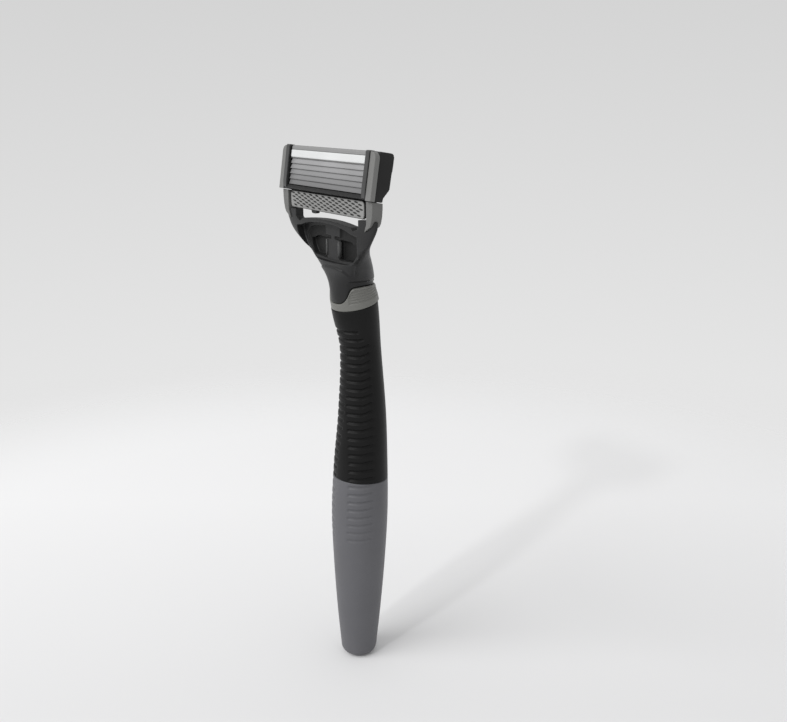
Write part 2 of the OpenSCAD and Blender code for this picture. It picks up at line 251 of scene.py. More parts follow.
def soften(obj, voxel, passes):
    """Remeshes a solid into small even faces and rounds its edges a little, as moulding does."""
    mod = obj.modifiers.new("even", "REMESH")
    mod.mode = "VOXEL"
    mod.voxel_size = voxel
    mod.use_smooth_shade = True
    mod = obj.modifiers.new("round", "SMOOTH")
    mod.factor = 0.5
    mod.iterations = passes
    return evaluated(obj)


def cad_copy(node, name, voxel, passes, place=None, end=None):
    """A softened copy of a CAD node, remeshed square to frame place and put back at end."""
    mesh = frame["nodes"][node].data.copy()
    mesh.materials.clear()
    mesh.transform(TO_METRES.inverted())
    place = place or Matrix.Identity(4)
    mesh.transform(place.inverted())
    obj = new_object(name, mesh)
    soften(obj, voxel, passes)
    obj.data.transform(end or place)
    return obj


def add(obj, body, material, replaces=(), flat=False):
    """Last step of a piece: metres, shading, material and body, and the CAD parts that it replaces
    are hidden.
    """
    obj.data.transform(TO_METRES)
    for poly in obj.data.polygons:
        poly.use_smooth = not flat
    obj.data.materials.clear()
    obj.data.materials.append(material)
    if body:
        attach(obj, body)
    if replaces:
        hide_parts(*replaces)
    return obj


# ---------------------------------------------------------------- materials


def material(name, base, rough, spec=0.5, metal=0.0, vary=0.12, grain=2200, bump=0.03,
             stretch=(1, 1, 1), rough_vary=0.08, coat=0.0, shade_ramp=None, recess_shade=None):
    """Procedural finish: slow colour drift, fine grain in colour, roughness and bump, with
    optional painted shade along an axis.
    """
    mat = bpy.data.materials.new(name)
    mat.use_nodes = True
    nodes, links = mat.node_tree.nodes, mat.node_tree.links
    bsdf = nodes["Principled BSDF"]
    bsdf.inputs["Metallic"].default_value = metal
    bsdf.inputs["Specular IOR Level"].default_value = spec
    bsdf.inputs["Coat Weight"].default_value = coat
    bsdf.inputs["Coat Roughness"].default_value = 0.12
    coords = nodes.new("ShaderNodeTexCoord")
    mapping = nodes.new("ShaderNodeMapping")
    mapping.inputs["Scale"].default_value = stretch
    links.new(coords.outputs["Object"], mapping.inputs["Vector"])

    def noise(scale, detail, vector):
        n = nodes.new("ShaderNodeTexNoise")
        n.inputs["Scale"].default_value = scale
        n.inputs["Detail"].default_value = detail
        links.new(vector, n.inputs["Vector"])
        return n.outputs["Fac"]

    def mix(a, b, factor, blend="MIX"):
        m = nodes.new("ShaderNodeMix")
        m.data_type = "RGBA"
        m.blend_type = blend
        for socket, value in ((m.inputs[6], a), (m.inputs[7], b), (m.inputs[0], factor)):
            if isinstance(value, bpy.types.NodeSocket):
                links.new(value, socket)
            elif isinstance(value, (int, float)):
                socket.default_value = value
            else:
                socket.default_value = (*value, 1)
        return m.outputs[2]

    def span(value, lo, hi, to_lo, to_hi):
        m = nodes.new("ShaderNodeMapRange")
        m.inputs["From Min"].default_value = lo
        m.inputs["From Max"].default_value = hi
        m.inputs["To Min"].default_value = to_lo
        m.inputs["To Max"].default_value = to_hi
        links.new(value, m.inputs["Value"])
        return m.outputs["Result"]

    slow = noise(90, 3, coords.outputs["Object"])
    fine = noise(grain, 4, mapping.outputs["Vector"])
    dark = [c * (1 - vary) for c in base]
    light = [min(1, c * (1 + vary)) for c in base]
    colour = mix(dark, light, span(slow, 0.3, 0.7, 0, 1))
    colour = mix(colour, [c * (1 - 1.3 * vary) for c in base], span(fine, 0.42, 0.75, 0, 0.6))
    # Painted shade: the colour darkens towards a given colour at the low end of an axis.
    if shade_ramp:
        axis, lo, hi, shade_ramp_colour = shade_ramp
        split = nodes.new("ShaderNodeSeparateXYZ")
        links.new(coords.outputs["Object"], split.inputs[0])
        colour = mix(shade_ramp_colour, colour, span(split.outputs[axis], lo, hi, 0, 1))
    # Painted shade: a darker colour is multiplied in towards the high end of an axis.
    if recess_shade:
        axis, lo, hi, recess_shade_colour = recess_shade
        split = nodes.new("ShaderNodeSeparateXYZ")
        links.new(coords.outputs["Object"], split.inputs[0])
        colour = mix(colour, recess_shade_colour, span(split.outputs[axis], lo, hi, 0, 1), "MULTIPLY")
    links.new(colour, bsdf.inputs["Base Color"])
    links.new(span(fine, 0.25, 0.75, rough - rough_vary, rough + rough_vary),
              bsdf.inputs["Roughness"])
    node = nodes.new("ShaderNodeBump")
    node.inputs["Strength"].default_value = min(1, bump * 10)
    node.inputs["Distance"].default_value = 0.00004
    links.new(fine, node.inputs["Height"])
    links.new(node.outputs["Normal"], bsdf.inputs["Normal"])
    return mat


FINISHES = {
    "grip_rubber": material("rubber_black", (0.0085, 0.0085, 0.0085), 0.42, spec=0.13, vary=0.15,
                            grain=3500, bump=0.05),
    "shell_grey": material("shell_grey", (0.112, 0.112, 0.121), 0.46, spec=0.3, vary=0.05,
                           grain=2600, bump=0.03),
    "collar_grey": material("collar_grey", (0.16, 0.16, 0.149), 0.4, spec=0.35, vary=0.08),
    "button_grey": material("button_grey", (0.15, 0.15, 0.145), 0.42, spec=0.35, vary=0.08),
    "yoke_black": material("yoke_black", (0.018, 0.018, 0.0185), 0.38, spec=0.25, vary=0.12,
                           grain=2400, bump=0.04),
    # Painted shade: a darker black for the pockets' floors and the web's top.
    "pocket": material("yoke_painted_shade", (0.015, 0.015, 0.015), 0.5, spec=0.15, vary=0.15),
    # Painted highlight: a lighter grey for thin ridges along the tongue's edges.
    "edge": material("yoke_painted_highlight", (0.075, 0.075, 0.075), 0.35, spec=0.4, vary=0.15),
    "arm_grey": material("arm_grey", (0.138, 0.138, 0.134), 0.4, spec=0.35, vary=0.06),
    "bezel_grey": material("bezel_grey", (0.175, 0.175, 0.17), 0.4, spec=0.35, vary=0.06),
    "housing_black": material("housing_black", (0.017, 0.017, 0.017), 0.42, spec=0.22, vary=0.15),
    "clip_metal": material("clip_dark", (0.05, 0.05, 0.05), 0.35, spec=0.4, vary=0.2,
                           stretch=(1, 1, 0.1)),
    "cap_grey": material("cap_grey", (0.245, 0.245, 0.245), 0.36, spec=0.4, vary=0.06),
    "strip_white": material("strip_white", (0.65, 0.66, 0.66), 0.3, spec=0.35, vary=0.04,
                            grain=900, stretch=(0.06, 1, 1), coat=0.2),
    # Painted shade: the blades darken towards the bottom of the stack.
    "blade_steel": material("blade_steel", (0.37, 0.37, 0.375), 0.38, metal=0.35, vary=0.08,
                            grain=1800, stretch=(0.03, 1, 1), bump=0.05,
                            shade_ramp=(2, 0.1295, 0.1362, (0.155, 0.155, 0.157))),
    "support_steel": material("support_steel", (0.35, 0.35, 0.36), 0.4, metal=1.0, vary=0.1,
                              grain=1800, stretch=(0.05, 1, 1)),
    # Painted shade: the guard darkens in the depth of its dimples.
    "guard_rubber": material("guard_rubber", (0.245, 0.245, 0.24), 0.6, spec=0.3, vary=0.08,
                             grain=3200, bump=0.05,
                             recess_shade=(1, -0.0081, -0.00793, (0.12, 0.12, 0.12))),
    "pin_steel": material("pin_steel", (0.6, 0.6, 0.6), 0.3, metal=1.0, vary=0.06,
                          stretch=(0.1, 1, 1)),
    "spring_steel": material("spring_steel", (0.5, 0.5, 0.5), 0.32, metal=1.0, vary=0.08),
    "core_zinc": material("core_zinc", (0.03, 0.03, 0.032), 0.45, spec=0.4, vary=0.15),
}

# ---------------------------------------------------------------- handle

RIB_PITCH, RIB_TOP, RIB_COUNT = 2.19, 94.75, 27


def rib_depth(z, az):
    """Grooves between the finger ribs: level across the front, their ends turned up."""
    a = np.abs(az)
    lift = (0.95 - 0.6 * smooth(75 - z, 0, 15)) * smooth(a, 52, 86)
    k = (RIB_TOP - z + lift) / RIB_PITCH
    off = np.abs(k - np.clip(np.round(k), 0, RIB_COUNT - 1)) * RIB_PITCH
    groove = 1 - smooth(off, 0.1, 0.6)
    # A smooth band opens in the front, below the waist.
    opening = smooth(82 - z, 0, 28)
    inside = (az - BAND_AZ) / np.where(az > BAND_AZ, BAND_RIGHT, BAND_LEFT)
    band = np.where(opening > 0, smooth(np.abs(inside), opening - 0.12, opening + 0.16), 1.0)
    end = 87 - 27 * smooth(z, 91, 94.5)
    fade = 0.38 - 0.1 * smooth(SEAM_Z + 0.4 - z, 0, 0.8) - 0.07 * smooth(50 - z, 0, 11)
    return groove * band * (1 - smooth(a, end - 8, end + 3)) * fade


N_AZ = 240
AZ = np.linspace(0, 2 * np.pi, N_AZ, endpoint=False)
BAND_AZ, BAND_LEFT, BAND_RIGHT = 11, 17.0, 19.0
SLEEVE_WALL, SHELL_WALL = 1.6, 2.2


def ribbed_rows(levels, lean_of):
    """Rings of the handle's skin with the grooves between its ribs."""
    return [ring(z, lean_of(z), 0, AZ, lambda z, a: rib_depth(z, (a + 180) % 360 - 180))
            for z in levels]


def grip_lean(z):
    return SEAM_LEAN + (NECK_LEAN - SEAM_LEAN) * (z - SEAM_Z) / (NECK_Z - SEAM_Z)


def build_grip():
    top = NECK_Z - 0.17
    levels = np.linspace(SEAM_Z + 0.16, top - 0.16, 380)
    rows = [ring(SEAM_Z + 0.02, SEAM_LEAN, 0.16, AZ)]
    rows += [ring(SEAM_Z + 0.07, SEAM_LEAN, 0.05, AZ)]
    rows += ribbed_rows(levels, grip_lean)
    rows += [ring(top - 0.07, NECK_LEAN, 0.05, AZ), ring(top, NECK_LEAN, 0.16, AZ)]
    # The inner wall follows the outer one, so that it stays hidden at the waist.
    rows += [ring(z, grip_lean(z), SLEEVE_WALL, AZ) for z in np.linspace(top, SEAM_Z + 0.02, 24)]
    return grid_object("grip_sleeve_ribbed", np.array(rows), joined=True)


def build_shell():
    end = STATIONS[0, 0]
    top = SEAM_Z - 0.05

    def lean(z):
        return SEAM_LEAN * max(0.0, (z - end) / (top - end))

    rows = [ring(0, 0, 1.2, AZ), ring(0, 0, 0, AZ)]
    rows += [ring(end * (1 - math.cos(t)), 0, 0, AZ) for t in np.linspace(0.15, 1.5, 14)]
    rows += ribbed_rows(np.linspace(end + 0.1, top - 0.16, 300), lean)
    rows += [ring(top - 0.05, SEAM_LEAN, 0.06, AZ), ring(top, SEAM_LEAN, 0.18, AZ)]
    rows += [ring(top, SEAM_LEAN, SHELL_WALL, AZ)]
    bore_r, bore_z = 4.25, 11.0
    rows += [np.stack([bore_r * np.sin(AZ), centre_y(bore_z) - bore_r * np.cos(AZ),
                       0 * AZ + bore_z], -1)]
    return grid_object("lower_shell", np.array(rows))


# ---------------------------------------------------------------- collar, in the neck's frame

# Height of the collar's top edge round the neck: azimuth in degrees from the front, height.
COLLAR_FOOT, COLLAR_BORE = -0.11, 4.6
COLLAR_RIBS = (2.15, 2.8, 3.45, 4.1, 4.75)
COLLAR_TOP = np.array([
    [0, 1.75], [13, 1.76], [22, 1.84], [30, 2.2], [36, 2.65], [42, 3.3], [47, 4.0], [51, 4.6],
    [56, 5.12], [62, 5.36], [70, 5.38], [80, 5.26], [90, 5.16], [100, 5.0], [115, 4.7],
    [130, 4.35], [150, 3.9], [180, 3.7]])


def collar_edge(az):
    return np.interp(np.abs(az), COLLAR_TOP[:, 0], COLLAR_TOP[:, 1])


def neck_points(r, az, w):
    p = np.stack([r * np.sin(az), -r * np.cos(az), w + 0 * r], -1)
    m = np.array(NECK)
    return p @ m[:3, :3].T + m[:3, 3]


def build_collar():
    az = np.sort((AZ + np.pi) % (2 * np.pi) - np.pi)
    deg = np.degrees(az)
    top = collar_edge(deg)
    panel = smooth(np.abs(deg), 43, 47)
    rows = [neck_points(5.98 + 0 * az, az, 0 * az + COLLAR_FOOT)]
    for s in np.linspace(0.0, 1, 90):
        w = 0.02 + s * (top - 0.02 - 0.22)
        r = 6.16 - 0.035 * np.minimum(w, 1.6) - 0.07 * np.clip(w - 1.6, 0, None)
        inside = panel * smooth(w, 1.5, 1.66) * (1 - smooth(w - top, -0.55, -0.3))
        ribs = sum(np.exp(-((w - c) / 0.13) ** 2) for c in COLLAR_RIBS)
        rows.append(neck_points(r - inside * (0.2 - 0.17 * np.minimum(ribs, 1)), az, w))
    r_top = 6.104 - 0.07 * np.clip(top - 1.6, 0, None)
    rows.append(neck_points(r_top - 0.05, az, top - 0.09))
    rows.append(neck_points(r_top - 0.16, az, top - 0.02))
    rows.append(neck_points(r_top - 0.3, az, top))
    rows.append(neck_points(COLLAR_BORE + 0 * az, az, top))
    rows.append(neck_points(COLLAR_BORE + 0 * az, az, 0 * az + COLLAR_FOOT))
    return grid_object("collar_ring", np.array(rows), joined=True)


# ---------------------------------------------------------------- yoke

# Half width of the hollow in the yoke's front, by height.
HOLLOW = np.array([[108.4, 6.3], [109.8, 6.9], [111.1, 7.9], [112.7, 9.1], [114.66, 10.7],
                   [116, 11.9], [117.5, 12.95], [118.85, 13.4], [120.7, 13.7], [122.4, 13.7]])


# Front of everything, and y of the floors cut into the yoke's front.
IN_FRONT = -30
HOLLOW_FLOOR, POCKET_FLOOR, TROUGH_FLOOR, SCOOP_FLOOR = -6.15, -5.75, -4.6, -6.6
STEP_DEPTH = 0.38


def lip_height(x):
    """Height of the skirt's upper edge across the front."""
    return 111.35 - 0.02 * x**2 - 2.6 * smooth(np.abs(x), 4.6, 6.6)


def yoke_section(z):
    """Half width, middle y, half depth, and squareness in front and behind at a height."""
    a, f, b, nf, nb = (float(curve(YOKE, np.array(z), c)) for c in range(1, 6))
    return a, (f + b) / 2, (b - f) / 2, nf, nb


def yoke_ring(z, n=260):
    a, mid, half, nf, nb = yoke_section(z)
    t = np.linspace(0, 2 * np.pi, n, endpoint=False)
    c, u = np.cos(t), np.sin(t)
    e = np.where(c > 0, 2 / nf, 2 / nb)
    x = a * np.sign(u) * np.abs(u) ** e
    y = mid - half * np.sign(c) * np.abs(c) ** e
    return x, y, mid


def build_yoke():
    rows = []
    for z in np.linspace(YOKE[0, 0], SHOULDER_Z, 150):
        x, y, mid = yoke_ring(z)
        edge = np.interp(z, HOLLOW[:, 0], HOLLOW[:, 1])
        front = smooth(-(y - mid), 0.0, 0.8) * (1 - smooth(np.abs(x), edge - 0.5, edge - 0.2))
        step = front * smooth(z - lip_height(x), 0.0, 0.2) * (1 - smooth(z, 112.6, 112.9))
        side = smooth(y, -5.2, -4.2) * (1 - smooth(z, 107.7, 108.3))
        y = y + STEP_DEPTH * step
        pull = 1 - 0.07 * side
        rows.append(np.stack([x * pull, mid + (y - mid) * pull, 0 * x + z], -1))
    body = grid_object("yoke_shell", np.array(rows))
    cutters = []
    # The collar's space, clear of its upper edge all round.
    clear = 0.15
    az = np.linspace(-np.pi, np.pi, N_AZ, endpoint=False)
    top = collar_edge(np.degrees(az)) + clear
    skin = [neck_points(0 * az + 14, az, 0 * az - 12), neck_points(0 * az + 14, az, top),
            neck_points(0 * az + 4.4, az, top), neck_points(0 * az + 4.4, az, 0 * az + 1.5)]
    cutters.append(grid_object("cutter", np.array(skin)))
    cutters.append(prism(circle(4.65, 64), -13, 5.7, "Z", NECK))
    nose = rounded(3.58, 2.28, 1.28)
    cutters.append(prism(nose, 0, 12.3, "Z", NECK))
    cutters.append(prism([(-2.35, 0), (2.35, 0), (2.35, 14), (-2.35, 14)], 0, 12.35, "Z", NECK))
    # Gap between the shoulders over the arched web, with soft corners.
    arch = [(x, 122.9 - x * x / 200 + 0.5 * float(smooth(np.array(abs(x)), 13.2, 14) ** 2))
            for x in np.linspace(-14, 14, 57)]
    cutters.append(prism(arch + [(14, 135), (-14, 135)], -30, 30))
    for s in (-1, 1):
        seat = [(17.48, 130), (17.48, 123.8), (16.7, 121.92), (18.88, 123.22), (19.38, 124.02),
                (19.8, 125.4), (20.5, 127), (20.5, 130)]
        cutters.append(prism([(s * x, z) for x, z in seat], -40, 20))
        cutters.append(prism([(s * x, z) for x, z in box2(14.5, 15.6, 123.3, 128)], -6.35, -5.93))
        pocket = [(3.3, 121.2), (8, 120.7), (10.6, 120), (11.8, 118.6), (11.2, 116.4),
                  (10, 114.9), (8.6, 113.6), (2.75, 113.2), (2.75, 118.2), (0.8, 118.2),
                  (0.8, 118.9), (3.3, 118.9)]
        cutters.append(prism([(s * x, z) for x, z in pocket], IN_FRONT, POCKET_FLOOR))
        # The pocket's lower part is deeper, beside the tongue of the centre plate.
        trough = [(2.8, 118.2), (7.5, 118.2), (9, 117.6), (10.6, 117.3), (10.1, 115.4),
                  (8.7, 113.7), (2.8, 113.5)]
        cutters.append(prism([(s * x, z) for x, z in trough], IN_FRONT, TROUGH_FLOOR))
        # Scoop where the web meets the shoulder.
        scoop = circle(1.1, 32, 12.1, 122.75)
        cutters.append(prism([(s * x, z) for x, z in scoop], IN_FRONT, SCOOP_FLOOR))
    hollow = [(0, 122.2), (3, 122.15), (6, 121.85), (9, 121.35), (11.2, 120.7), (13.5, 120.4)]
    hollow += [(float(np.interp(z, HOLLOW[:, 0], HOLLOW[:, 1])), z)
               for z in np.linspace(120, 112.9, 16)]
    hollow += [(6, 112.75), (0, 112.65)]
    outline = hollow + [(-x, z) for x, z in hollow[-2:0:-1]]
    cutters.append(prism(outline, IN_FRONT, HOLLOW_FLOOR))
    combine(body, cutters)
    soften(body, 0.14, 3)
    return body


def paint_pocket_shade(yoke, dark):
    """Paints shade on the pockets' floors and the web's top with a darker material, where the
    light falls too bright.
    """
    yoke.data.materials.append(dark)
    for poly in yoke.data.polygons:
        x, y, z = poly.center
        floor = (abs(x) < 0.012 and -0.0061 < y < -0.0042 and 0.1132 < z < 0.1213
                 and poly.normal.y < -0.3)
        web_top = abs(x) < 0.0135 and 0.1205 < z < 0.1236 and poly.normal.z > 0.75
        if floor or web_top:
            poly.material_index = 1


def box2(x0, x1, z0, z1):
    return [(x0, z0), (x1, z0), (x1, z1), (x0, z1)]


def circle(r, steps, a=0, b=0):
    """Circle outline about (a, b)."""
    return [(a + r * math.cos(t), b + r * math.sin(t))
            for t in np.linspace(0, 2 * math.pi, steps, endpoint=False)]


def rounded(a, b, r, steps=8):
    """Rounded rectangle outline, half sides a and b."""
    pts = []
    for k, (sx, sy) in enumerate(((1, 1), (-1, 1), (-1, -1), (1, -1))):
        for t in np.linspace(k * math.pi / 2, (k + 1) * math.pi / 2, steps):
            pts.append((sx * (a - r) + r * math.cos(t), sy * (b - r) + r * math.sin(t)))
    return pts


# ---------------------------------------------------------------- guard


def build_guard():
    lo, hi = (np.array(p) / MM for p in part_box("guard_pad"))
    width, height, r = hi[0] - lo[0], hi[2] - lo[2], 1.1
    nx, nz = 440, 84
    u = np.linspace(-1, 1, nx)
    v = np.linspace(-height / 2, height / 2, nz)
    over = np.clip(np.abs(v) - (height / 2 - r), 0, r)
    half = width / 2 - r + np.sqrt(np.clip(r * r - over * over, 0, None))
    x = u[None, :] * half[:, None]
    z = np.repeat(v[:, None], nx, 1)
    rim = np.minimum(half[:, None] - np.abs(x), height / 2 - np.abs(z))
    y = lo[1] + 0.32 * (1 - np.sqrt(np.clip(1 - (1 - np.clip(rim / 0.45, 0, 1)) ** 2, 0, 1)))
    y = y + 0.05 * (2 * z / height) ** 2
    pitch, rows, row_step = 2.85, 7, 0.5
    hole_x, hole_z, hole_depth = 0.92, 0.235, 0.26
    for j in range(rows):
        zc = height / 2 - row_step * (1 + j)
        start = -width / 2 + 1.2 + (pitch / 2 if j % 2 else 0) + 0.18 * j
        for xc in np.arange(start, width / 2 - 1.0, pitch):
            dx, dz = x - xc, z - zc + 0.1 * (x - xc)
            hole = (np.abs(dx) / hole_x) ** 2.4 + (np.abs(dz) / hole_z) ** 2.2
            y = y + hole_depth * (1 - smooth(hole, 0.25, 1.1))
    front = np.stack([x, y, z + (lo[2] + hi[2]) / 2], -1)
    back = front.copy()
    back[..., 1] = hi[1]
    return plate_object("guard_dimpled", front, back, flip=False)


# ---------------------------------------------------------------- bezels and clips

RAIL_X, RAIL_Z, BEZEL_IN, BEZEL_DEPTH = 20.5, -10.85, 18.42, 1.3
CLIP_IN, CLIP_FRONT = 16.9, -0.28


def build_bezel(side):
    """Bar at the end of the head with its upper outer corner rounded."""
    r = 1.6
    corner = [(RAIL_X - r + r * math.cos(t), -r + r * math.sin(t))
              for t in np.linspace(0, math.pi / 2, 14)]
    outline = [(BEZEL_IN, RAIL_Z), (RAIL_X, RAIL_Z)] + corner + [(BEZEL_IN, 0)]
    bar = prism([(side * x, z) for x, z in outline], 0, BEZEL_DEPTH)
    soften(bar, 0.09, 4)
    bar.data.transform(FACE)
    return bar


def build_clip(side):
    """Metal band folded over the head beside the blades."""
    profile = [(-0.06, -10.35), (CLIP_FRONT, -9), (CLIP_FRONT, -0.15), (CLIP_FRONT + 0.1, 0.1),
               (CLIP_FRONT + 0.25, 0.22), (1.3, 0.24), (1.3, 0.15), (0.09, 0.14), (0.09, -10.35)]
    band = prism(profile, side * CLIP_IN, side * (BEZEL_IN - 0.07), "X")
    soften(band, 0.06, 2)
    band.data.transform(FACE)
    return band


# ---------------------------------------------------------------- blades

BLADE_TOP, BLADE_PITCH, BLADE_HALF = -3.0, 1.29, 16.5


def build_blade(i):
    """Ground blade: a bright bevel along the edge and a body that tucks under the next."""
    edge = BLADE_TOP - i * BLADE_PITCH
    profile = [(0.0, 0.0), (0.01, 0.03), (0.075, 0.17), (0.10, 0.2), (0.42, 1.31), (0.56, 1.31),
               (0.58, 1.26), (0.3, 0.16), (0.16, 0.05), (0.03, 0.0)]
    return prism([(y, edge + z) for y, z in profile], -BLADE_HALF, BLADE_HALF, "X", INSERT)


def build_support(i):
    """Bent strip that carries a blade, like the CAD's but under the ground blade."""
    edge = BLADE_TOP - i * BLADE_PITCH
    profile = [(0.34, 0.36), (0.66, 1.14), (3.2, 1.14), (3.2, 0.96), (0.78, 0.96), (0.5, 0.3)]
    return prism([(y, edge + z) for y, z in profile], -BLADE_HALF + 0.5, BLADE_HALF - 0.5, "X",
                 INSERT)


def build_comb():
    """Bar along the bay's lower edge, under the last blade."""
    profile = [(0.2, -10.1), (0.2, -9.78), (0.42, -9.62), (1.5, -9.62), (1.5, -10.1)]
    return prism(profile, -16.85, 16.85, "X", FACE)


def build_tab():
    """Small moulded tab under the guard, off the middle."""
    outline = [(-7.0, 124.9), (-6.6, 124.1), (-6.3, 123.98), (-5.0, 123.98), (-4.7, 124.1),
               (-4.3, 124.9)]
    return prism(outline, -7.9, -6.9)


# ---------------------------------------------------------------- springs

COIL_TURNS, COIL_R, COIL_WIRE, COIL_W = 5, 1.05, 0.15, 9.2
COIL_FROM, COIL_TO, COIL_KEEP = -0.75, 3.15, 0.78
LEAF_FRONT = [(-6.3, 123.4), (-5.93, 127.6), (-5.44, 128.85), (-5.25, 129.4)]
LEAF_BACK = [(-6.1, 123.4), (-5.7, 127.6), (-5.22, 128.8), (-5.02, 129.35)]
LEAF_X, LEAF_HALF = 15.05, 0.5


def build_coil():
    """Compression spring behind the release button."""
    rows = []
    turns = np.linspace(0, 2 * math.pi * COIL_TURNS, 32 * COIL_TURNS)
    section = np.linspace(0, 2 * math.pi, 12, endpoint=False)
    for a in turns:
        # The end turns lie flat against their seats.
        t = float(smooth(np.array(a / turns[-1]), 0.08, 0.92)) * 0.25 + a / turns[-1] * 0.75
        v = COIL_FROM + COIL_WIRE + (COIL_TO - COIL_FROM - 2 * COIL_WIRE) * t
        r = COIL_R + COIL_WIRE * np.cos(section)
        rows.append(np.stack([r * math.cos(a), v + COIL_WIRE * np.sin(section),
                              COIL_W - r * math.sin(a)], -1))
    coil = grid_object("button_coil", np.array(rows))
    coil.data.transform(NECK)
    return coil


def build_leaf(side):
    """Leaf spring from the shoulder to the back of the head, in small steps along its length."""
    def along(points, t):
        p = np.array(points)
        d = np.concatenate([[0], np.cumsum(np.hypot(*(p[1:] - p[:-1]).T))])
        return np.stack([np.interp(t * d[-1], d, p[:, k]) for k in (0, 1)], -1)

    t = np.linspace(0, 1, 36)
    front, back = along(LEAF_FRONT, t), along(LEAF_BACK, t)
    x0, x1 = side * LEAF_X - LEAF_HALF, side * LEAF_X + LEAF_HALF
    rows = [[(x0, *f), (x1, *f), (x1, *b), (x0, *b)] for f, b in zip(front, back)]
    return grid_object("leaf", np.array(rows))


# ---------------------------------------------------------------- release button


def build_button():
    """Plate that follows the yoke's back, with grip ridges, and its stem."""
    lo_w, hi_w, half, v_in = 4.45, 12.2, 2.2, 3.2
    ridge_pitch, ridge_height = 0.95, 0.16
    inv = NECK.inverted()
    ws = np.linspace(lo_w, hi_w, 70)
    xs = np.linspace(-half, half, 40)
    verts = []
    for w in ws:
        for x in xs:
            # Settles on the depth at which the plate meets the yoke's back.
            v = 4.0
            for _ in range(12):
                z = float((NECK @ Vector((0, v, w))).z)
                a, mid, h, _, nb = yoke_section(z)
                y = mid + h * (1 - abs(x / a) ** nb) ** (1 / nb)
                v = 0.5 * v + 0.5 * float((inv @ Vector((0, y, z))).y)
            rim = min(half - abs(x), hi_w - w, w - lo_w)
            ridge = 0.5 + 0.5 * math.cos(2 * math.pi * (w - COIL_W) / ridge_pitch)
            ridge *= ridge_height
            ridge *= float(smooth(np.array(1.75 - abs(x)), 0, 0.3))
            ridge *= float(smooth(np.array(2.3 - abs(w - COIL_W)), 0, 0.5))
            edge = 0.3 * (1 - math.sqrt(max(0, 1 - (1 - min(1, rim / 0.4)) ** 2)))
            verts.append((x, max(v + 0.06 + ridge - edge, v_in + 0.4), w))
    top = np.array(verts).reshape(len(ws), len(xs), 3)
    base = top.copy()
    base[..., 1] = v_in
    obj = plate_object("button_ridged", top, base, flip=True)
    combine(obj, [prism(circle(0.75, 24, 0, COIL_W), 1.2, 3.4)], "UNION")
    obj.data.transform(NECK)
    return obj


# ---------------------------------------------------------------- assembly

add(build_shell(), "handle", FINISHES["shell_grey"], ["lower_handle"])
add(build_grip(), "handle", FINISHES["grip_rubber"], ["grip_sleeve"])
add(build_collar(), "handle", FINISHES["collar_grey"], ["collar"])
add(build_button(), "button", FINISHES["button_grey"], ["release_button"])
paint_pocket_shade(add(build_yoke(), "yoke", FINISHES["yoke_black"], ["yoke"]), FINISHES["pocket"])
add(build_guard(), "head", FINISHES["guard_rubber"], ["guard_pad"])
for side in ("left", "right"):
    sign = 1 if side == "right" else -1
    # Thin ridges along the tongue's edges, in a lighter grey: painted highlight.
    edge = prism([(sign * x, z) for x, z in box2(2.56, 2.8, 113.9, 117.9)], -6.42, -4.7)
    edge.name = edge.data.name = f"tongue_highlight_ridge_{side}"
    add(edge, "yoke", FINISHES["edge"])
    add(cad_copy(f"arm_{side}", f"arm_{side}_soft", 0.09, 5), "yoke",
        FINISHES["arm_grey"], [f"arm_{side}"])
    for build, name, slot in ((build_bezel, "bezel", "bezel_grey"),
                              (build_clip, "blade_clip", "clip_metal")):
        piece = build(sign)
        piece.name = piece.data.name = f"{name}_{side}_folded"
        add(piece, "head", FINISHES[slot], [f"{name}_{side}"])
add(cad_copy("head_housing", "housing_soft", 0.19, 3, FACE), "head",
    FINISHES["housing_black"], ["head_housing"])
add(cad_copy("cap", "cap_soft", 0.1, 3, FACE, INSERT), "head", FINISHES["cap_grey"], ["cap"])
add(cad_copy("lubricating_strip", "strip_soft", 0.075, 4, FACE, INSERT), "head",
    FINISHES["strip_white"], ["lubricating_strip"])
for build, name in ((build_comb, "comb_bar"), (build_tab, "guard_tab")):
    piece = build()
    piece.name = piece.data.name = name
    add(piece, "head", FINISHES["housing_black"], flat=True)
for number in range(1, BLADE_COUNT + 1):
    blade = build_blade(number)
    blade.name = blade.data.name = f"blade_{number}_ground"
    add(blade, "head", FINISHES["blade_steel"], [f"blade_{number}"], flat=True)
    strip = build_support(number)
    strip.name = strip.data.name = f"blade_support_{number}_bent"
    add(strip, "head", FINISHES["support_steel"], [f"blade_support_{number}"],
        flat=True)
# The coil gets a mesh of its own, and the leaves' placing is baked into their meshes.
coil = add(build_coil(), "handle", FINISHES["spring_steel"], ["button_spring"])
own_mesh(coil)
for side, sign in (("left", -1), ("right", 1)):
    leaf = build_leaf(sign)
    leaf.name = leaf.data.name = f"return_leaf_{side}"
    add(leaf, None, FINISHES["spring_steel"], [f"return_spring_{side}"], flat=True)
    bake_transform(leaf)
for node_name, obj in frame["nodes"].items():
    if not obj.hide_render:
        slot = next(s["material_slot"] for s in frame["record"]["subparts"]
                    if s["node"] == node_name)
        obj.data.materials.clear()
        obj.data.materials.append(FINISHES[slot])

# ---------------------------------------------------------------- floor, light and camera


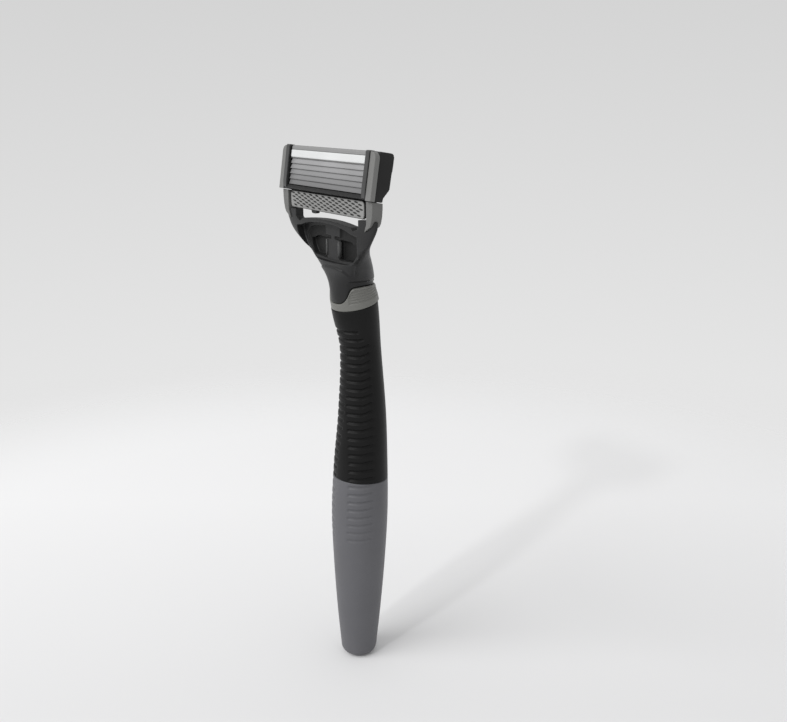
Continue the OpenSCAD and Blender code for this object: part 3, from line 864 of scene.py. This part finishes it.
def stage_material():
    """Pale floor that grows transparent away from the object, so the backdrop takes over."""
    mat = bpy.data.materials.new("floor_pale")
    mat.use_nodes = True
    nodes, links = mat.node_tree.nodes, mat.node_tree.links
    bsdf = nodes["Principled BSDF"]
    bsdf.inputs["Roughness"].default_value = 0.6
    bsdf.inputs["Specular IOR Level"].default_value = 0.1
    coords = nodes.new("ShaderNodeTexCoord")
    # Painted shade: a little darker towards the viewer's side of the table.
    shade_toward_viewer = nodes.new("ShaderNodeVectorMath")
    shade_toward_viewer.operation = "DOT_PRODUCT"
    shade_toward_viewer.inputs[1].default_value = (0.807, -0.59, 0)
    links.new(coords.outputs["Object"], shade_toward_viewer.inputs[0])
    tone = nodes.new("ShaderNodeValToRGB")
    tone.color_ramp.elements[0].position = 0.35
    tone.color_ramp.elements[0].color = (0.86, 0.86, 0.865, 1)
    tone.color_ramp.elements[1].position = 0.75
    tone.color_ramp.elements[1].color = (0.765, 0.765, 0.77, 1)
    spread = nodes.new("ShaderNodeMapRange")
    spread.inputs["From Min"].default_value = -0.2
    spread.inputs["From Max"].default_value = 0.1
    links.new(shade_toward_viewer.outputs["Value"], spread.inputs["Value"])
    links.new(spread.outputs["Result"], tone.inputs["Fac"])
    links.new(tone.outputs["Color"], bsdf.inputs["Base Color"])
    length = nodes.new("ShaderNodeVectorMath")
    length.operation = "LENGTH"
    links.new(coords.outputs["Object"], length.inputs[0])
    fade = nodes.new("ShaderNodeMapRange")
    fade.interpolation_type = "SMOOTHSTEP"
    for socket, value in (("From Min", 0.17), ("From Max", 0.30), ("To Min", 1), ("To Max", 0)):
        fade.inputs[socket].default_value = value
    links.new(length.outputs["Value"], fade.inputs["Value"])
    links.new(fade.outputs["Result"], bsdf.inputs["Alpha"])
    return mat


floor_mesh = bpy.data.meshes.new("floor")
floor_mesh.from_pydata([(-0.6, -0.6, 0), (0.6, -0.6, 0), (0.6, 0.6, 0), (-0.6, 0.6, 0)], [],
                       [(0, 1, 2, 3)])
floor = new_object("floor", floor_mesh)
floor.data.materials.append(stage_material())

world = bpy.data.worlds.new("studio")
bpy.context.scene.world = world
world.use_nodes = True
nodes, links = world.node_tree.nodes, world.node_tree.links
background = nodes["Background"]
coords = nodes.new("ShaderNodeTexCoord")
split = nodes.new("ShaderNodeSeparateXYZ")
links.new(coords.outputs["Generated"], split.inputs[0])
tone = nodes.new("ShaderNodeValToRGB")
tone.color_ramp.elements[0].position = 0.36
tone.color_ramp.elements[0].color = (0.78, 0.78, 0.78, 1)
tone.color_ramp.elements[1].position = 0.56
tone.color_ramp.elements[1].color = (0.655, 0.655, 0.655, 1)
ramp_in = nodes.new("ShaderNodeMapRange")
ramp_in.inputs["From Min"].default_value = -1
ramp_in.inputs["From Max"].default_value = 1
links.new(split.outputs["Z"], ramp_in.inputs["Value"])
links.new(ramp_in.outputs["Result"], tone.inputs["Fac"])
links.new(tone.outputs["Color"], background.inputs["Color"])
background.inputs["Strength"].default_value = 1.0


def area(name, where, target, size, power):
    """Round area light aimed at target; metres and watts."""
    light = bpy.data.lights.new(name, "AREA")
    light.energy = power
    light.shape = "DISK"
    light.size = size
    obj = bpy.data.objects.new(name, light)
    bpy.context.scene.collection.objects.link(obj)
    obj.location = where
    obj.rotation_mode = "QUATERNION"
    obj.rotation_quaternion = (Vector(target) - Vector(where)).to_track_quat("-Z", "Y")


CAMERA_AT = Vector((0.18024, -0.11971, 0.15031))
AZIMUTH, PITCH = math.radians(53.8), math.radians(16.57)
SENSOR, LENS = 36, 39.86531
AHEAD = Vector((-math.sin(AZIMUTH), math.cos(AZIMUTH), 0))
MIDDLE = Vector((0, 0, 0.075))
area("key", (0.32, -1.15, 0.98), MIDDLE, 0.12, 3.4)
area("soft", MIDDLE + Vector((-0.25, -1.3, 1.15)), MIDDLE, 1.3, 16.2)

cam_data = bpy.data.cameras.new("camera")
cam_data.sensor_width = SENSOR
cam_data.lens = LENS
cam_data.clip_start = 0.005
cam = bpy.data.objects.new("camera", cam_data)
bpy.context.scene.collection.objects.link(cam)
cam.location = CAMERA_AT
look = AHEAD * math.cos(PITCH) - Vector((0, 0, math.sin(PITCH)))
cam.rotation_mode = "QUATERNION"
cam.rotation_quaternion = look.to_track_quat("-Z", "Y")
bpy.context.scene.camera = cam
bpy.context.scene.view_settings.view_transform = "Standard"
